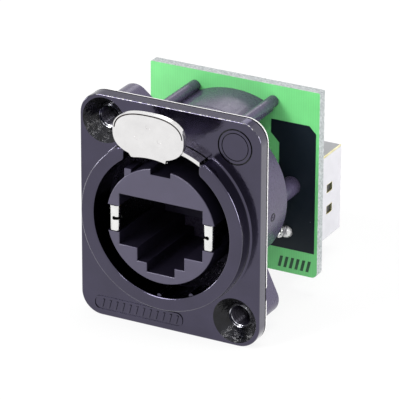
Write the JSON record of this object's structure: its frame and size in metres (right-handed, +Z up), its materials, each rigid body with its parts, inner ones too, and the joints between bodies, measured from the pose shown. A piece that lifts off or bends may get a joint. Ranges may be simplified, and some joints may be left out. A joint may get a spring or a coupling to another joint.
{
  "type": "ethernet feedthrough socket",
  "caption": "Panel socket with a round collar and a push tab in front, and a board with a shielded socket behind.",
  "frame": {"origin": "on the round body's axis, in the plane of the flange gasket's back face, centred on the two screw holes", "axes": "+X to the right seen from the front, +Y along the plug's axis towards the back, +Z up towards the push tab"},
  "size_m": [0.026, 0.0396, 0.0321],
  "materials": {
    "black_plating": "black plated die-cast metal, satin on flat faces, glossy in the recesses",
    "pale_gasket": "thin pale sheet",
    "bright_nickel": "bright plated",
    "insert_plastic": "fine satin moulding",
    "spring_metal": "bright spring strip",
    "body_plastic": "smooth satin moulding",
    "green_board": "translucent green coated glass laminate",
    "dark_mask": "dark coated copper",
    "tinned_sheet": "tinned folded sheet",
    "solder": "bright solder",
    "jack_plastic": "moulded",
    "gold_contact": "gold plated wire"
  },
  "bodies": {
    "socket": {"board_ground_area": "dark_mask", "body_back": "body_plastic", "circuit_board": "green_board", "flange_gasket": "pale_gasket", "flange_shell": "black_plating", "front_contact_1": "gold_contact", "front_contact_2": "gold_contact", "front_contact_3": "gold_contact", "front_contact_4": "gold_contact", "front_contact_5": "gold_contact", "front_contact_6": "gold_contact", "front_contact_7": "gold_contact", "front_contact_8": "gold_contact", "front_contact_carrier": "insert_plastic", "front_insert": "insert_plastic", "front_solder_joints": "solder", "ground_spring_left": "spring_metal", "ground_spring_right": "spring_metal", "latch_spring": "spring_metal", "rear_body": "body_plastic", "rear_contact_1": "gold_contact", "rear_contact_2": "gold_contact", "rear_contact_3": "gold_contact", "rear_contact_4": "gold_contact", "rear_contact_5": "gold_contact", "rear_contact_6": "gold_contact", "rear_contact_7": "gold_contact", "rear_contact_8": "gold_contact", "rear_contact_carrier": "insert_plastic", "rear_jack_housing": "jack_plastic", "rear_jack_shield": "tinned_sheet", "rear_solder_joints": "solder", "shield_solder_joints": "solder"},
    "tab": {"push_tab": "bright_nickel"}
  },
  "joints": [
    {"name": "tab_push", "type": "slide", "parent": "socket", "child": "tab", "axis": [0, 1, 0], "range_m": [0, 0.0018], "stiffness_N_per_m": 1500, "springref_m": -0.0008, "deforming": ["latch_spring"]}
  ]
}
